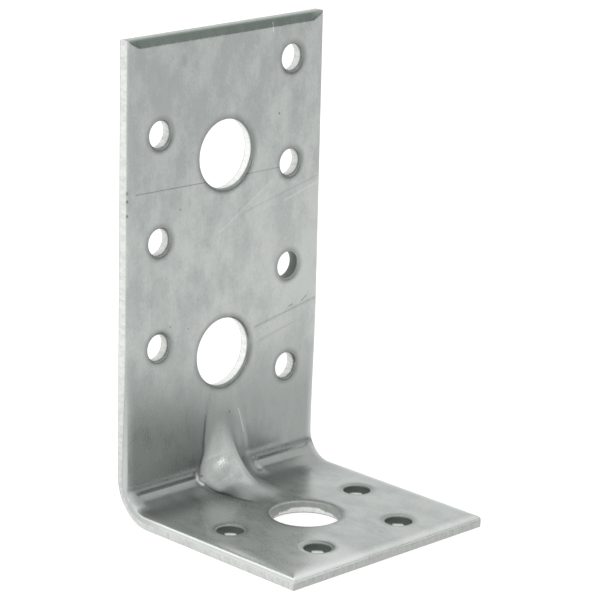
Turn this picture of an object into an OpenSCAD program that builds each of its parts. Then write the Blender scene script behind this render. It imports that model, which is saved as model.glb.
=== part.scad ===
// Ribbed angle bracket: one strip of galvanised steel, punched, bent once and stiffened by a rib
// pressed through the bend. X runs along the bend, the tall leg stands along Z at the back, and the
// short leg reaches forward along -Y with its outer face on z = 0. The modules build from the sharp
// outer corner, and the last step moves the middle of the base to the origin.

/* [Sheet] */
// Width of the strip, along the bend
width = 48; // [44:1:70]
// Height of the tall leg, over the outer faces
tall_leg = 90; // [86:1:130]
// Reach of the short leg, over the outer faces
short_leg = 47; // [46:1:70]
// Thickness of the sheet
sheet_t = 2.5; // [2:0.1:3]

/* [Bend] */
// Inside radius of the bend
bend_r = 4.8; // [4:0.1:6]
// Share of the thickness left in the middle of the bend
bend_left = 0.8; // [0.75:0.01:0.9]
// Radius of the coined line in the inside corner
coin_r = 1.6; // [1.2:0.1:2]
// Depth of the coined line
coin_depth = 0.4; // [0.2:0.05:0.6]
// Plain margin between the coined line and the side edge
coin_margin = 2; // [1:0.5:5]

/* [Rib] */
// Radius of the rib across its crest
rib_r = 5.5; // [5:0.1:6]
// How much larger the radius of the rib's round noses is
nose_more = 0.2; // [0.2:0.05:0.4]
// Height of the crest over the inner face of the tall leg, next to the nose
rib_tall = 1.6; // [1.2:0.1:1.8]
// Height that the crest would have over the short leg if it ran on until level
rib_short = 0.9; // [0.6:0.1:1.2]
// Radius that the crest follows through the corner
crest_r = 12; // [11:0.1:12.5]
// Angle that the crest turns through
crest_turn = 82; // [78:1:90]
// How far the upper nose lies past the end of that turn
nose_out = 1; // [0.5:0.1:1.1]
// Radius of the flare at the foot of the rib
rib_foot_r = 2.5; // [1:0.1:3]
// How far the flare is let into the crest and the bend, which leaves a faint edge along both
foot_bite = 0.1; // [0.05:0.01:0.2]
// Share of the thickness left in the rib after pressing
rib_left = 0.95; // [0.92:0.01:1]

/* [Bolt holes] */
// Diameter of the bolt holes
bolt_d = 13; // [11:0.5:14]
// From the outer corner to the lower bolt hole in the tall leg
bolt_low = 28; // [27:0.5:32]
// From the top edge to the upper bolt hole
bolt_from_top = 24; // [15:0.5:26]
// From the outer corner to the bolt hole in the short leg
bolt_out = 25.3; // [25:0.1:27]

/* [Nail holes] */
// Diameter of the nail holes
nail_d = 5; // [4:0.5:6]
// Distance between nail holes in one column
nail_pitch = 20; // [16:1:24]
// From a column of nail holes to the nearest side edge
nail_side = 7.75; // [6:0.25:9]
// From the top edge to the first nail hole of the right column
nail_from_top = 8; // [6:0.5:12]
// Lowest place for a nail hole in the tall leg, from the outer corner
nail_low = 20; // [16:1:24]
// From the outer corner to the inner pair of nail holes in the short leg
nail_out = 22.4; // [20:0.1:26]
// From the front edge to the outer pair of nail holes in the short leg
nail_from_front = 8; // [6:0.5:9]
// Distance between the outer pair of nail holes
nail_pair = 20.8; // [16:0.1:24]

/* [Edges] */
// Radius of the rounding that the punch leaves round each hole, on the inner faces
punch_roll = 0.5; // [0.2:0.05:0.8]
// Share of that radius by which the rounding reaches down the wall of the hole
punch_down = 0.9; // [0.6:0.05:0.95]
// Height of the sheared bevel along the top edge
shear_height = 1.7; // [1:0.1:3]
// Depth of the sheared bevel at the top edge
shear_depth = 0.4; // [0.2:0.05:0.8]
// Length of the mitre at each end of the sheared bevel
shear_mitre = 2.2; // [1:0.1:4]

/* [Hidden] */
$fn = 64;
// Length by which a cutter runs past the face that it cuts
over = 1;
diagonal = sqrt(2);
// Outer radius of the bend, which leaves the stated share of the sheet in its middle
outer_r = (sheet_t * diagonal + bend_r * (diagonal - 1) - bend_left * sheet_t) / (diagonal - 1);
// Levels along the corner's bisector, measured from the sharp outer corner
bend_level = sheet_t * diagonal + bend_r * (diagonal - 1);
// Centre of the arc that the crest follows, from the sharp outer corner
arc_y = sheet_t + rib_tall + crest_r;
arc_z = sheet_t + rib_short + crest_r;
// Distance from that centre to the middle of the rib's round section
spine_r = crest_r + rib_r;
rib_wall = rib_left * sheet_t;
hollow_r = rib_r - rib_wall;
// Height of the crest over the inside of the bend
rib_height = (arc_y + arc_z) / diagonal - crest_r - bend_level;
// Place of the flare's centre, where the flare meets both the bend and the round crest
foot_span = rib_r + rib_foot_r - foot_bite;
foot_rise = foot_span - rib_height;
rib_half = sqrt(pow(foot_span, 2) - pow(foot_rise, 2));
foot_top = rib_r * (1 - foot_rise / foot_span);
nail_x = width / 2 - nail_side;
bolt_high = tall_leg - bolt_from_top;
nails_right = [for (z = tall_leg - nail_from_top; z >= nail_low; z = z - nail_pitch) z];
nails_left = [for (z = tall_leg - nail_from_top - nail_pitch / 2; z >= nail_low; z = z - nail_pitch) z];

// Block with one rounded corner at the origin of the profile, run along the whole width
module corner_block(depth, height, r, length) {
  rotate([90, 0, 90])
    linear_extrude(height = length, center = true)
      union() {
        translate([-depth, 0])
          difference() {
            square([depth, height]);
            translate([depth - r, 0])
              square([r, r]);
          }
        intersection() {
          translate([-r, r])
            circle(r);
          translate([-r, 0])
            square([r, r]);
        }
      }
}

// Room on the inner side of the two legs
module inner_room() {
  translate([0, -sheet_t, sheet_t])
    corner_block(short_leg + over, tall_leg + over, bend_r, width + 2 * over);
}

// Turns a cross-section through the corner, from the tall leg to the end on the short leg
module along_arc() {
  translate([0, -arc_y, arc_z])
    rotate([90, 0, 90])
      rotate([0, 0, -crest_turn])
        rotate_extrude(angle = crest_turn)
          children();
}

// Round noses at the two ends of a bar of radius r that follows the crest
module noses(r) {
  translate([0, spine_r - arc_y, arc_z + nose_out])
    sphere(r + nose_more);
  translate([0, -arc_y, arc_z])
    rotate([-crest_turn, 0, 0])
      translate([0, spine_r, 0])
        sphere(r + nose_more);
}

// Rib as it stands on the inner side: round crest, flared feet and a nose on each leg
module rib() {
  along_arc() {
    translate([spine_r, 0])
      circle(rib_r);
    difference() {
      translate([crest_r + foot_top, -rib_half])
        square([rib_r, 2 * rib_half]);
      for (side = [-1, 1])
        translate([crest_r + rib_height - rib_foot_r + foot_bite, side * rib_half])
          circle(rib_foot_r);
    }
  }
  noses(rib_r);
}

// Hollow behind the rib, one wall inside the crest and open to the outer side
module rib_hollow() {
  along_arc() {
    translate([spine_r, 0])
      circle(hollow_r);
    translate([spine_r, -hollow_r])
      square([rib_r, 2 * hollow_r]);
  }
  noses(hollow_r);
}

// Line coined into the inside corner on both sides of the rib
module coined_lines() {
  length = width / 2 - coin_margin - rib_half;
  rotate([135, 0, 0])
    for (side = [-1, 1])
      translate([side * (rib_half + length / 2), bend_level + coin_r - coin_depth, 0])
        rotate([0, 90, 0])
          cylinder(r = coin_r, h = length, center = true);
}

// Bevel that the shear leaves along the top of the inner face
module sheared_top() {
  intersection() {
    translate([0, -sheet_t, tall_leg - shear_height])
      rotate([-atan(shear_depth / shear_height), 0, 0])
        translate([-width / 2 - over, -shear_height, 0])
          cube([width + 2 * over, shear_height, 2 * shear_height]);
    rotate([90, 0, 0])
      linear_extrude(height = 2 * sheet_t)
        polygon([
          [-width / 2, tall_leg],
          [-width / 2 + shear_mitre, tall_leg - shear_height],
          [width / 2 - shear_mitre, tall_leg - shear_height],
          [width / 2, tall_leg],
          [width / 2, tall_leg + over],
          [-width / 2, tall_leg + over]
        ]);
  }
}

// Punched hole along Z from z = 0, with the punch's rounding at the face z = sheet_t
module punched_hole(d) {
  reach = punch_down * punch_roll;
  spread = punch_roll - sqrt(pow(punch_roll, 2) - pow(reach, 2));
  translate([0, 0, -over])
    cylinder(d = d, h = sheet_t + 2 * over);
  rotate_extrude()
    difference() {
      translate([0, sheet_t - reach])
        square([d / 2 + punch_roll, reach + over]);
      translate([d / 2 + punch_roll, sheet_t - reach])
        circle(punch_roll);
      translate([d / 2 + spread, sheet_t])
        square([punch_roll, 2 * over]);
    }
}

// The same hole in the tall leg, at x and height z
module tall_hole(d, x, z) {
  translate([x, 0, z])
    rotate([90, 0, 0])
      punched_hole(d);
}

// The same hole in the short leg, at x and reach y from the outer corner
module short_hole(d, x, y) {
  translate([x, -y, 0])
    punched_hole(d);
}

module holes() {
  for (z = [bolt_low, bolt_high])
    tall_hole(bolt_d, 0, z);
  for (z = nails_right)
    tall_hole(nail_d, nail_x, z);
  for (z = nails_left)
    tall_hole(nail_d, -nail_x, z);
  short_hole(bolt_d, 0, bolt_out);
  for (side = [-1, 1]) {
    short_hole(nail_d, side * nail_x, nail_out);
    short_hole(nail_d, side * nail_pair / 2, short_leg - nail_from_front);
  }
}

module bracket() {
  color("silver")
    translate([0, short_leg / 2, 0])
      difference() {
        corner_block(short_leg, tall_leg, outer_r, width);
        difference() {
          inner_room();
          rib();
        }
        rib_hollow();
        coined_lines();
        sheared_top();
        holes();
      }
}

bracket();
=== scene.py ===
"""Ribbed angle bracket: one galvanised sheet with punched holes and a rib pressed through its bend.

The sheet is laid out flat, as a grid over its width (x) and its developed length (q, from the top
edge down the tall leg, round the bend and out along the short leg). Each node is then carried to its
place between the inner and the outer side of the bent sheet. Sizes are in millimetres until a mesh is
made, and the frame's metres from there on.
"""
import logging
import math
from dataclasses import dataclass, field
from enum import Enum
from functools import reduce
from typing import Dict, List, Sequence, Tuple, Union

import bpy
import numpy as np
from mathutils import Matrix, Vector


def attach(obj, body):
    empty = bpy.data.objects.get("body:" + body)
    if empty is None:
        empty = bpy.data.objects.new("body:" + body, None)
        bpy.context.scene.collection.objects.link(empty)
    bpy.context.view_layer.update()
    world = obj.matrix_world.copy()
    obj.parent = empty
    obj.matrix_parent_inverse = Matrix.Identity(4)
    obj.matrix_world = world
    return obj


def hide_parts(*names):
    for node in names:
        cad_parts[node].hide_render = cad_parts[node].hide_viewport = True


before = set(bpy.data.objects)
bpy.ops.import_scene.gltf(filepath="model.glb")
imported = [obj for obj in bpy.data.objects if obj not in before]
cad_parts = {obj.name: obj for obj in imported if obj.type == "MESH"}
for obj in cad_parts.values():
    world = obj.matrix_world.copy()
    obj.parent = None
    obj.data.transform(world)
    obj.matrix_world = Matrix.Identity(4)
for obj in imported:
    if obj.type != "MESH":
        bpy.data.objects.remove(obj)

LOG = logging.getLogger("bracket_scene")
MM = 0.001
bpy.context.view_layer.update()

Array = np.ndarray
Colour = Tuple[float, float, float]
Pairs = Tuple[Tuple[float, float], ...]
Tone = Union[float, Array]
Socket = bpy.types.NodeSocket
Source = Union[Socket, float, Sequence[float]]

# Developed lengths between which the side edges go over from crisp to soft
SOFT_EDGE = (56.0, 84.0)
# Greatest value of u times (1 - u) squared, for u from 0 to 1
RIDGE_PEAK = 4 / 27


def smooth_curve(points: Pairs, at: Array) -> Array:
    """Cubic curve through a few points, level with its end values beyond them.

    Each span is a Hermite cubic whose end slopes are central differences of the points.

    Args:
        points: (station, value) pairs in any order.
        at: stations to read the curve at.

    Returns:
        The curve's values, in the shape of at.
    """
    station, value = np.array(sorted(points)).T
    slope = np.gradient(value, station)
    at = np.clip(at, station[0], station[-1])
    k = np.clip(np.searchsorted(station, at) - 1, 0, len(station) - 2)
    span = station[k + 1] - station[k]
    t = (at - station[k]) / span
    rise = value[k + 1] - value[k]
    return (
        value[k]
        + t * t * (3 - 2 * t) * rise
        + span * t * (1 - t) * ((1 - t) * slope[k] - t * slope[k + 1])
    )


def ease(t: Array) -> Array:
    """Smooth step from 0 to 1 as t goes from 0 to 1."""
    t = np.clip(t, 0.0, 1.0)
    return t * t * (3 - 2 * t)


class Punch(Enum):
    """The punches that made the holes: radius, and half the square patch of mesh round the hole."""

    BOLT = (6.5, 8.0)
    NAIL = (2.5, 4.0)
    NAIL_FRONT = (2.5, 3.8)

    @property
    def radius(self) -> float:
        """Radius of the hole."""
        return self.value[0]

    @property
    def patch(self) -> float:
        """Half the side of the square patch round the hole."""
        return self.value[1]


class WallTone(Enum):
    """How dark a punched wall is above and below the place where its tone turns, and that place.

    0 is clean, 1 is darkest and -1 is near white. The dark tone is painted shade in the short leg's
    holes, and the near white is painted light on the tall leg's bolt walls and low in the short leg's holes.
    The place is a share of the way through the sheet.
    """

    # BRIGHT is painted light; DIM_OVER_LIT and SHADE_OVER_LIGHT are painted shade over painted light
    BRIGHT = (-0.3, -0.3, 0.5)
    CLEAN = (0.0, 0.0, 0.5)
    DIM_OVER_LIT = (0.65, -0.25, 0.4)
    DARK = (1.0, 1.0, 0.5)
    SHADE_OVER_LIGHT = (1.0, -1.0, 0.65)

    @property
    def above(self) -> float:
        """Tone from the inner face to the turn."""
        return self.value[0]

    @property
    def below(self) -> float:
        """Tone from the turn to the outer face."""
        return self.value[1]

    @property
    def turn(self) -> float:
        """Share of the way through the sheet at which the tone turns."""
        return self.value[2]


class Side(Enum):
    """The two faces of the sheet."""

    INNER = 0
    OUTER = 1


@dataclass(frozen=True)
class PunchedHole:
    """One hole: its middle on the flat sheet and the punch that made it."""

    x: float
    q: float
    punch: Punch
    tone: WallTone = WallTone.CLEAN


@dataclass(frozen=True)
class SheetForm:
    """Sizes of the bent sheet, and the way from flat places to the bent ones."""

    width: float = 48.0
    tall: float = 90.0
    short: float = 47.0
    gauge: float = 2.5
    inner_r: float = 4.8
    outer_r: float = 8.51

    @property
    def bend_start(self) -> float:
        """Developed length at which the bend starts."""
        return self.tall - self.outer_r

    @property
    def lead(self) -> float:
        """Straight stretch of the inner side beside the outer side's curve."""
        return self.outer_r - self.gauge - self.inner_r

    @property
    def bend_length(self) -> float:
        """Developed length of the bend, along its inner side."""
        return 2 * self.lead + self.inner_r * math.pi / 2

    @property
    def bend_end(self) -> float:
        """Developed length at which the bend ends."""
        return self.bend_start + self.bend_length

    @property
    def length(self) -> float:
        """Developed length of the whole sheet."""
        return self.bend_end + self.short - self.outer_r

    def on_tall(self, z: float) -> float:
        """Developed length of a height on the tall leg."""
        return self.tall - z

    def on_short(self, reach: float) -> float:
        """Developed length of a distance out along the short leg, from the outer corner."""
        return self.bend_end + reach - self.outer_r

    def inner(self, q: Array) -> Array:
        """Inner side's profile: down the tall leg, a quarter circle, and out along the short leg.

        Args:
            q: developed lengths.

        Returns:
            (y, z) of each, from the sharp outer corner, with y negative towards the front.
        """
        turn = (q - self.bend_start - self.lead) / self.inner_r
        angle = np.clip(turn, 0.0, math.pi / 2)
        before = np.minimum(turn, 0.0) * self.inner_r
        after = np.maximum(turn - math.pi / 2, 0.0) * self.inner_r
        centre = self.gauge + self.inner_r
        y = -centre + self.inner_r * np.cos(angle) - after
        z = centre - self.inner_r * np.sin(angle) - before
        return np.stack([y, z], axis=-1)

    def outer(self, q: Array) -> Array:
        """Outer side's profile: as the inner one, with its quarter circle over the whole bend.

        Args:
            q: developed lengths.

        Returns:
            (y, z) of each.
        """
        share = (q - self.bend_start) / self.bend_length
        angle = np.clip(share, 0.0, 1.0) * math.pi / 2
        before = np.minimum(q - self.bend_start, 0.0)
        after = np.maximum(q - self.bend_end, 0.0)
        y = -self.outer_r + self.outer_r * np.cos(angle) - after
        z = self.outer_r - self.outer_r * np.sin(angle) - before
        return np.stack([y, z], axis=-1)

    def place(self, q: Array, depth: Array) -> Array:
        """Point at a depth under the inner side, on the straight line to the outer side.

        Args:
            q: developed lengths.
            depth: depths in millimetres of a flat stretch.

        Returns:
            (y, z) of each.
        """
        share = (depth / self.gauge)[..., None]
        return self.inner(q) * (1 - share) + self.outer(q) * share


@dataclass(frozen=True)
class PressedRib:
    """Rib pressed through the bend: its crest follows an arc, and its feet run out on each leg.

    The feet are half widths, and the fade is the share of the height that is left, both by developed
    length.
    """

    crest_r: float = 14.9
    over_tall: float = 0.4
    over_short: float = 0.4
    wall: float = 2.375
    crown: float = 0.35
    least_power: float = 1.0
    most_power: float = 2.2
    fade: Pairs = (
        (67.8, 0.0), (69.5, 0.12), (71.2, 0.4), (73.0, 0.75), (75.0, 0.95), (77.0, 1.0), (93.0, 1.0),
        (95.5, 0.95), (97.5, 0.75), (99.3, 0.4), (100.4, 0.13), (101.4, 0.0),
    )
    left_foot: Pairs = (
        (67.8, 3.2), (70.5, 3.7), (73.1, 4.2), (78.0, 4.8), (82.0, 5.2), (84.6, 6.2),
        (85.8, 6.4), (87.2, 5.7), (89.9, 4.7), (95.0, 4.2), (98.0, 3.3), (101.4, 1.8),
    )
    right_foot: Pairs = (
        (67.8, 3.2), (70.5, 3.8), (73.0, 4.6), (76.9, 5.5), (80.0, 6.3), (83.0, 7.2), (86.0, 7.9),
        (88.0, 7.6), (91.3, 7.2), (94.2, 6.2), (97.5, 4.8), (99.3, 3.8), (101.4, 2.2),
    )
    even_foot: float = 5.4
    hollow_inset: float = 1.7
    hollow_least: float = 0.3
    crease_half: float = 0.25
    crease_full: float = 0.8

    def centre(self, form: SheetForm) -> Array:
        """Middle of the arc that the crest follows, as (y, z)."""
        reach = form.gauge + self.crest_r
        return np.array([-reach - self.over_tall, reach + self.over_short])

    def foot(self, x: Array, q: Array) -> Array:
        """Half width of the rib on the side that each place lies on."""
        return np.where(x < 0, smooth_curve(self.left_foot, q), smooth_curve(self.right_foot, q))

    def aim(self, form: SheetForm, q: Array, side: Side) -> Array:
        """(y, z) from each place on a face to the middle of the crest's arc."""
        return self.centre(form) - (form.inner(q) if side is Side.INNER else form.outer(q))

    def crest_height(self, form: SheetForm, q: Array, side: Side) -> Array:
        """Height of the crest over a face.

        The crest lies on the arc, so its height is the face's distance from the arc's centre less the
        arc's radius, faded out over each nose. On the outer side the arc is a wall larger.

        Args:
            form: the bent sheet.
            q: developed lengths.
            side: the face.

        Returns:
            The heights, 0 where a face lies inside the arc.
        """
        distance = np.linalg.norm(self.aim(form, q, side), axis=-1)
        crest = self.crest_r if side is Side.INNER else self.crest_r + self.wall
        return np.maximum(distance - crest, 0.0) * smooth_curve(self.fade, q)

    def crease(self, form: SheetForm, x: Array, q: Array) -> Array:
        """Crisp line of painted shade along the left foot, fainter where the rib is low.

        Args:
            form: the bent sheet.
            x: places across the sheet.
            q: developed lengths.

        Returns:
            1 on the line and 0 a short way from it.
        """
        gap = np.abs(x + smooth_curve(self.left_foot, q))
        near = np.clip(1 - gap / self.crease_half, 0.0, 1.0)
        return near * np.clip(self.crest_height(form, q, Side.INNER) / self.crease_full, 0.0, 1.0)

    def rise(self, form: SheetForm, x: Array, q: Array, side: Side) -> Array:
        """How far the rib moves a face, and which way.

        With t from 0 at the crest to 1 at the foot, the height falls along a hyperbola in t, blunt over
        the crown and straight down the flank, and that fall is raised to a power. The power grows with
        the square of the foot's half width, so that the crown stays even where the foot flares.

        Args:
            form: the bent sheet.
            x: places across the sheet.
            q: developed lengths.
            side: the face that is moved.

        Returns:
            (y, z) moves of each place, towards the arc's centre.
        """
        aim = self.aim(form, q, side)
        foot = self.foot(x, q)
        power = np.clip((foot / self.even_foot) ** 2, self.least_power, self.most_power)
        if side is Side.OUTER:
            foot = np.maximum(foot - self.hollow_inset, self.hollow_least)
        t = np.clip(np.abs(x) / foot, 0.0, 1.0)
        far = math.hypot(1.0, self.crown)
        shape = ((far - np.hypot(t, self.crown)) / (far - self.crown)) ** power
        share = self.crest_height(form, q, side) * shape / np.linalg.norm(aim, axis=-1)
        return share[..., None] * aim


@dataclass(frozen=True)
class CoinedLine:
    """Line coined into the inside corner on both sides of the rib."""

    depth: float = 0.45
    bottom: float = 85.4
    halves: Tuple[float, float] = (0.7, 1.5)
    blunt: float = 0.06
    left: Tuple[float, float] = (-22.0, -6.0)
    right: Tuple[float, float] = (8.0, 22.2)
    end_fade: float = 1.2
    ridge: float = 0.3
    ridge_end: float = 91.6
    cups: Pairs = ((-6.9, 85.6), (8.0, 86.0))
    cup_depth: float = 0.4
    cup_half: Tuple[float, float] = (0.6, 1.3)
    cup_power: float = 1.5

    def drop(self, x: Array, q: Array) -> Array:
        """Depth of the line: a blunt lopsided V across it, faded at its ends, with a long cup by the rib.

        The metal that the V pushed out stands as a ridge below it. With u from 0 at the V to 1 at the
        ridge's end, the ridge rises as u times (1 - u) squared. A cup's depth falls as a power of 1 less
        half the square of the distance from its middle, counted in its half sizes.

        Args:
            x: places across the sheet.
            q: developed lengths.

        Returns:
            Depth under the inner face.
        """
        across = q - self.bottom
        share = np.where(across < 0, across / self.halves[0], across / self.halves[1])
        far = math.hypot(1.0, self.blunt)
        groove = np.maximum(far - np.hypot(share, self.blunt), 0.0) / (far - self.blunt)
        start = self.bottom + self.halves[1]
        u = np.clip((q - start) / (self.ridge_end - start), 0.0, 1.0)
        profile = self.depth * groove - self.ridge / RIDGE_PEAK * u * (1 - u) ** 2
        total = np.zeros_like(x)
        for low, high in (self.left, self.right):
            total = total + profile * ease((x - low) / self.end_fade) * ease((high - x) / self.end_fade)
        for cup_x, cup_q in self.cups:
            away = ((x - cup_x) / self.cup_half[0]) ** 2 + ((q - cup_q) / self.cup_half[1]) ** 2
            cup = self.cup_depth * np.maximum(1 - away / 2, 0.0) ** self.cup_power
            total = np.where(cup > 0, np.maximum(total, cup), total)
        return total


@dataclass(frozen=True)
class ShearedTop:
    """Bevel that the shear left along the top of the inner face, mitred towards both ends."""

    height: float = 1.7
    depth: float = 0.4
    mitre: float = 2.6
    corner_share: float = 0.02
    height_power: float = 0.7
    depth_power: float = 0.5

    def drop(self, form: SheetForm, x: Array, q: Array) -> Array:
        """Depth of the bevel: a straight slope whose foot curves up to the corners.

        Over the mitres, its height and its depth shrink as powers of the distance from the end.

        Args:
            form: the bent sheet.
            x: places across the sheet.
            q: developed lengths.

        Returns:
            Depth under the inner face.
        """
        from_end = np.clip((form.width / 2 - np.abs(x)) / self.mitre, self.corner_share, 1.0)
        foot = self.height * from_end**self.height_power
        return self.depth * from_end**self.depth_power * np.clip(1 - q / foot, 0.0, 1.0)


@dataclass(frozen=True)
class EdgeRoll:
    """Rounding that a punch or shear leaves at an edge: a wide shallow roll and a tight lip."""

    depth: float
    reach: float
    lip: float
    power: float = 2.4

    def drop(self, away: Array) -> Array:
        """Depth of the rounding at a distance from the edge.

        The roll falls as a power of the distance left, and the lip is a quarter circle.

        Args:
            away: distances from the edge.

        Returns:
            Depth under the face.
        """
        roll = self.depth * np.clip(1 - away / self.reach, 0.0, 1.0) ** self.power
        short = np.clip(self.lip - away, 0.0, self.lip)
        return roll + self.lip - np.sqrt(self.lip**2 - short**2)


@dataclass
class FlatLayout:
    """Quads of the flat sheet: a grid of lines with a ring-shaped patch in each hole's square."""

    x: Array
    q: Array
    quads: Array
    border: Array
    rims: List[Array]


def graded(stops: Sequence[Tuple[float, float]]) -> Array:
    """Line places between stops, each stretch cut evenly near its own spacing.

    Args:
        stops: (place, spacing up to the next stop) pairs in rising order.

    Returns:
        The places, with every stop among them.
    """
    lines: List[Array] = []
    for (low, gap), (high, _) in zip(stops, stops[1:]):
        count = max(1, round((high - low) / gap))
        lines.append(np.linspace(low, high, count, endpoint=False))
    lines.append(np.array([stops[-1][0]]))
    return np.concatenate(lines)


# Distances from an edge of the close grid lines, and of the last even one
EDGE_LINES = np.array([0.0, 0.02, 0.06, 0.12, 0.2, 0.32, 0.5, 0.75, 1.05])
EDGE_GAP = 1.4
# Distances of the rings round a hole from its rim
RIM_RINGS = np.array([1.3, 0.9, 0.6, 0.4, 0.28, 0.18, 0.1, 0.04, 0.0])
# Steps in which a patch goes over from its square to the widest ring
SQUARE_RINGS = 3
# Least distance from a hole's middle that is divided by
TINY = 1e-6


@dataclass(frozen=True)
class CutWall:
    """How one cut wall runs: the way it breaks out, where it starts, how far it leans, and its tones."""

    out: Array
    start: Array
    spread: float
    above: Tone
    below: Tone
    turn: float


@dataclass
class Shell:
    """Points of the closed sheet with their values, and its faces, gathered part by part."""

    places: List[Array] = field(default_factory=list)
    flat: List[Array] = field(default_factory=list)
    values: Dict[str, List[Array]] = field(default_factory=dict)
    faces: List[Array] = field(default_factory=list)

    def add(self, places: Array, flat: Array, **values: Tone) -> Array:
        """Adds points.

        Args:
            places: (x, y, z) of each point.
            flat: (x, developed length, depth) of each point.
            values: by name, a number for each point or one for all.

        Returns:
            The numbers of the points, in the shape that they came in.
        """
        shape = places.shape[:-1]
        first = sum(len(part) for part in self.places)
        self.places.append(places.reshape(-1, 3))
        self.flat.append(flat.reshape(-1, 3))
        for name, value in values.items():
            self.values.setdefault(name, []).append(np.broadcast_to(value, shape).ravel())
        return first + np.arange(math.prod(shape)).reshape(shape)

    def mesh(self, name: str) -> bpy.types.Mesh:
        """Makes the mesh, in metres, with every value as an attribute of its points.

        Args:
            name: the mesh's name.

        Returns:
            The mesh.
        """
        mesh = bpy.data.meshes.new(name)
        mesh.from_pydata(np.concatenate(self.places) * MM, [], np.concatenate(self.faces).tolist())
        put_attribute(mesh, "flat", "FLOAT_VECTOR", np.concatenate(self.flat))
        for key, parts in self.values.items():
            put_attribute(mesh, key, "FLOAT", np.concatenate(parts))
        return mesh


@dataclass
class Bracket:
    """The whole bracket: bent sheet, holes, rib, coined lines and edges, as one closed piece."""

    name: str = "bracket_sheet"
    form: SheetForm = SheetForm()
    rib: PressedRib = PressedRib()
    line: CoinedLine = CoinedLine()
    top: ShearedTop = ShearedTop()
    # Rounded edges: of the holes, of the sides on the tall leg and on the short one, and of the outer face
    hole_roll: EdgeRoll = EdgeRoll(0.22, 1.25, 0.26)
    side_roll: EdgeRoll = EdgeRoll(0.06, 1.0, 0.2)
    low_roll: EdgeRoll = EdgeRoll(0.4, 2.6, 0.6)
    outer_roll: EdgeRoll = EdgeRoll(0.02, 0.3, 0.08)
    # Places of the holes: heights on the tall leg and distances out along the short one
    nail_x: float = 16.25
    front_x: float = 10.4
    bolt_heights: Tuple[float, ...] = (66.0, 28.0)
    right_heights: Tuple[float, ...] = (82.0, 62.0, 42.0, 22.0)
    left_heights: Tuple[float, ...] = (72.0, 52.0, 32.0)
    dark_height: float = 42.0
    bolt_reach: float = 25.3
    nail_reach: float = 22.4
    front_reach: float = 39.0
    # Cut walls: the share of the sheet at which they break, their rings, and how far they lean from there
    break_at: float = 0.5
    break_step: float = 0.06
    break_power: float = 0.8
    rings_above: Tuple[float, ...] = (0.18, 0.36)
    rings_below: Tuple[float, ...] = (0.74, 0.9)
    hole_spread: float = 0.2
    side_inset: float = 0.1
    # Way on the flat sheet in which the painted light low in a hole's wall reaches highest, and how fast it
    # runs out to both sides
    painted_light_way: Tuple[float, float] = (0.7, -0.71)
    painted_light_lean: float = 1.0
    # Painted shade: tones of sheared walls, darker on the head, the front and the short leg's sides, and how
    # far the painted shade of dark lips and of the bevel reaches
    side_tone: float = 0.12
    low_side_tone: float = 0.26
    head_tone: float = 0.35
    front_tone: float = 0.3
    lip_reach: float = 0.35
    bevel_full: float = 0.05
    # Grid: the line that follows the rib's feet, where it does so, and spacings by developed length
    foot_line: float = 5.4
    feet_span: Tuple[float, float] = (70.0, 100.2)
    feet_ease: Tuple[float, float] = (4.0, 3.0)
    bevel_gaps: Pairs = ((1.3, 0.13), (2.2, 0.6))
    tall_gaps: Pairs = ((0.0, 0.9), (62.0, 0.75), (70.0, 0.45))
    bend_gap: float = 0.12
    nose_gap: float = 0.45
    short_gap: float = 0.7
    sharp_angle: float = 38.0

    def holes(self) -> List[PunchedHole]:
        """Every hole: bolts on the middle line, nails staggered on the tall leg and paired on the short.

        Returns:
            The holes, with those of the tall leg first.
        """
        # Wall tones paint shade into the short leg's holes, with painted light low in them, and light onto
        # the tall bolts' walls
        clean, dark, painted_light = WallTone.CLEAN, WallTone.DARK, WallTone.SHADE_OVER_LIGHT
        tall = [(0.0, z, Punch.BOLT, WallTone.BRIGHT) for z in self.bolt_heights]
        for z in self.right_heights:
            tall.append((self.nail_x, z, Punch.NAIL, dark if z == self.dark_height else clean))
        tall += [(-self.nail_x, z, Punch.NAIL, clean) for z in self.left_heights]
        short = [(0.0, self.bolt_reach, Punch.BOLT, WallTone.DIM_OVER_LIT)]
        short += [(side * self.nail_x, self.nail_reach, Punch.NAIL, painted_light) for side in (-1, 1)]
        short += [(side * self.front_x, self.front_reach, Punch.NAIL_FRONT, painted_light) for side in (-1, 1)]
        return [PunchedHole(x, self.form.on_tall(z), punch, tone) for x, z, punch, tone in tall] + [
            PunchedHole(x, self.form.on_short(y), punch, tone) for x, y, punch, tone in short
        ]

    def lines_across(self) -> Array:
        """Grid lines across the sheet, close together over the rib and at the side edges.

        Returns:
            The lines' places, from left to right.
        """
        half, patch = self.form.width / 2, Punch.NAIL.patch
        inner = graded([
            (0.0, 0.42),
            (self.foot_line, 0.4),
            (Punch.BOLT.patch, 0.5),
            (self.nail_x - patch, 0.65),
            (self.front_x + Punch.NAIL_FRONT.patch, 0.75),
            (self.nail_x + patch, 0.6),
            (half - EDGE_GAP, EDGE_GAP),
        ])
        right = np.concatenate([inner, half - EDGE_LINES[::-1]])
        return np.concatenate([-right[:0:-1], right])

    def along_feet(self, x: Array, q: Array) -> Array:
        """Moves grid lines sideways so that one follows each foot of the rib.

        The lines between the crest and the foot, and those from the foot to the nail holes, are spread
        evenly again. Next to the bolt holes nothing moves.

        Args:
            x: places across the sheet.
            q: developed lengths.

        Returns:
            The moved places across the sheet.
        """
        (low, high), (low_ease, high_ease) = self.feet_span, self.feet_ease
        share = ease((q - low) / low_ease) * ease((high - q) / high_ease)
        line, last = self.foot_line, self.nail_x - Punch.NAIL.patch
        goal = line + share * (self.rib.foot(x, q) - line)
        away = np.abs(x)
        outer = goal + (away - line) * (last - goal) / (last - line)
        moved = np.where(away <= line, away * goal / line, np.where(away < last, outer, away))
        return np.sign(x) * moved

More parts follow.
